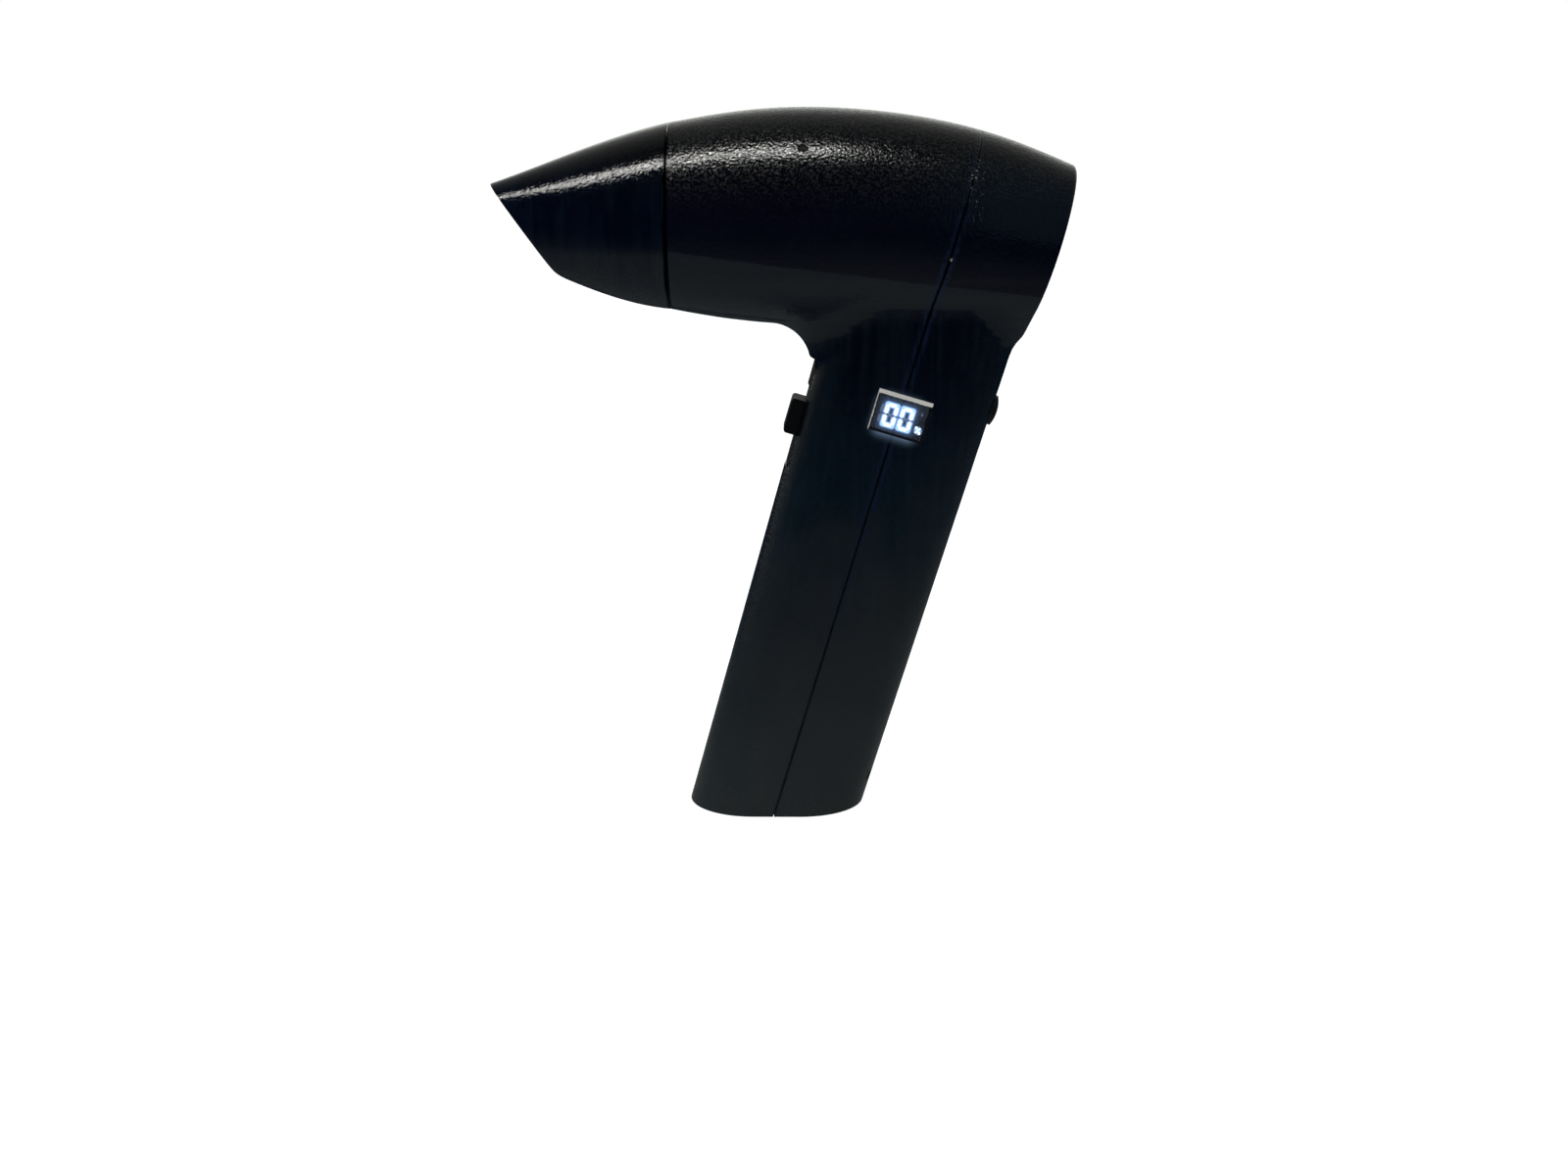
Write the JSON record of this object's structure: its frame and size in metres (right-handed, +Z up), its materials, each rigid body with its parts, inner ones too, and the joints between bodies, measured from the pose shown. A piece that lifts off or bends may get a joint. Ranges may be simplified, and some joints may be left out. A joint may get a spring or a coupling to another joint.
{
  "type": "car dryer blower",
  "caption": "Hand-held cordless air blower for drying a car: pistol-shaped two-part housing, slanted-mouth nozzle, ducted fan, trigger, power button and battery display.",
  "frame": {"origin": "centre of the flat base that the blower stands on", "axes": "+Z up along the standing blower, the nozzle blows towards -X, the display is on the -Y side"},
  "size_m": [0.1541, 0.0566, 0.1908],
  "materials": {
    "shell_paint": "printed shell, sanded and painted near-black navy, gritty matt",
    "nozzle_plastic": "near-black navy, satin with fine print lines",
    "black_plastic": "matt black",
    "fan_plastic": "glass-filled nylon, satin black",
    "trigger_plastic": "matt black",
    "button_plastic": "satin black",
    "motor_can": "turned",
    "steel": "ground",
    "screw_steel": "blackened",
    "magnet": "plated magnet",
    "copper": "enamelled copper wire",
    "nickel": "nickel plated",
    "cell_sleeve": "shrink sleeve on a steel can; the density stands for a lithium cell",
    "wire_sleeve": "silicone sleeve",
    "circuit_board": "solder mask",
    "chip_plastic": "moulded epoxy",
    "display_rim": "light grey rim",
    "display_glass": "smoked window",
    "display_dark": "dark light guide",
    "display_light": "lit segments",
    "display_ghost": "unlit segments"
  },
  "bodies": {
    "housing": {"nozzle": "nozzle_plastic", "front_housing": "shell_paint", "rear_housing": "shell_paint", "intake_grille": "black_plastic", "fan_shroud": "black_plastic", "tail_cone": "black_plastic", "motor_case": "motor_can", "motor_end_cap": "motor_can", "motor_stator": "steel", "motor_windings": "copper", "front_bearing": "steel", "rear_bearing": "steel", "motor_screws": "screw_steel", "motor_leads": "wire_sleeve", "battery_cell_front": "cell_sleeve", "battery_cell_rear": "cell_sleeve", "battery_holder": "black_plastic", "battery_contacts": "nickel", "battery_leads": "wire_sleeve", "control_board": "circuit_board", "board_chips": "chip_plastic", "board_capacitor": "chip_plastic", "board_screws": "screw_steel", "trigger_pin": "steel", "trigger_spring": "steel", "trigger_switch": "black_plastic", "button_switch": "black_plastic", "button_board": "circuit_board", "display_frame": "display_rim", "display_lens": "display_glass", "display_panel": "display_dark", "display_board": "circuit_board", "display_digits": "display_light", "display_dim_segments": "display_ghost", "usb_socket": "nickel", "charge_board": "circuit_board", "housing_screws": "screw_steel"},
    "rotor": {"impeller": "fan_plastic", "impeller_nut": "steel", "spinner": "fan_plastic", "motor_magnet": "magnet", "motor_shaft": "steel"},
    "trigger": {"trigger": "trigger_plastic"},
    "switch_plunger": {"switch_plunger": "chip_plastic"},
    "power_button": {"power_button": "button_plastic", "button_plunger": "chip_plastic"}
  },
  "joints": [
    {"name": "fan_spin", "type": "hinge", "parent": "housing", "child": "rotor", "pos_m": [0.0125, 0, 0.1625], "axis": [-1, 0, 0], "continuous": true},
    {"name": "trigger_pull", "type": "hinge", "parent": "housing", "child": "trigger", "pos_m": [0.01308, 0, 0.12061], "axis": [0, -1, 0], "range_deg": [0, 5], "stiffness_Nm_per_rad": 0.15, "springref_deg": -5.73, "deforming": ["trigger_spring"]},
    {"name": "plunger_press", "type": "slide", "parent": "housing", "child": "switch_plunger", "axis": [0.9593, 0, -0.2823], "range_m": [0, 0.0021]},
    {"name": "button_press", "type": "slide", "parent": "housing", "child": "power_button", "axis": [-0.9593, 0, 0.2823], "range_m": [0, 0.0008], "stiffness_N_per_m": 1500, "springref_m": -0.0003}
  ],
  "couplings": [
    {"joint": "plunger_press", "follows": "trigger_pull", "m_per_rad": 0.0215}
  ]
}
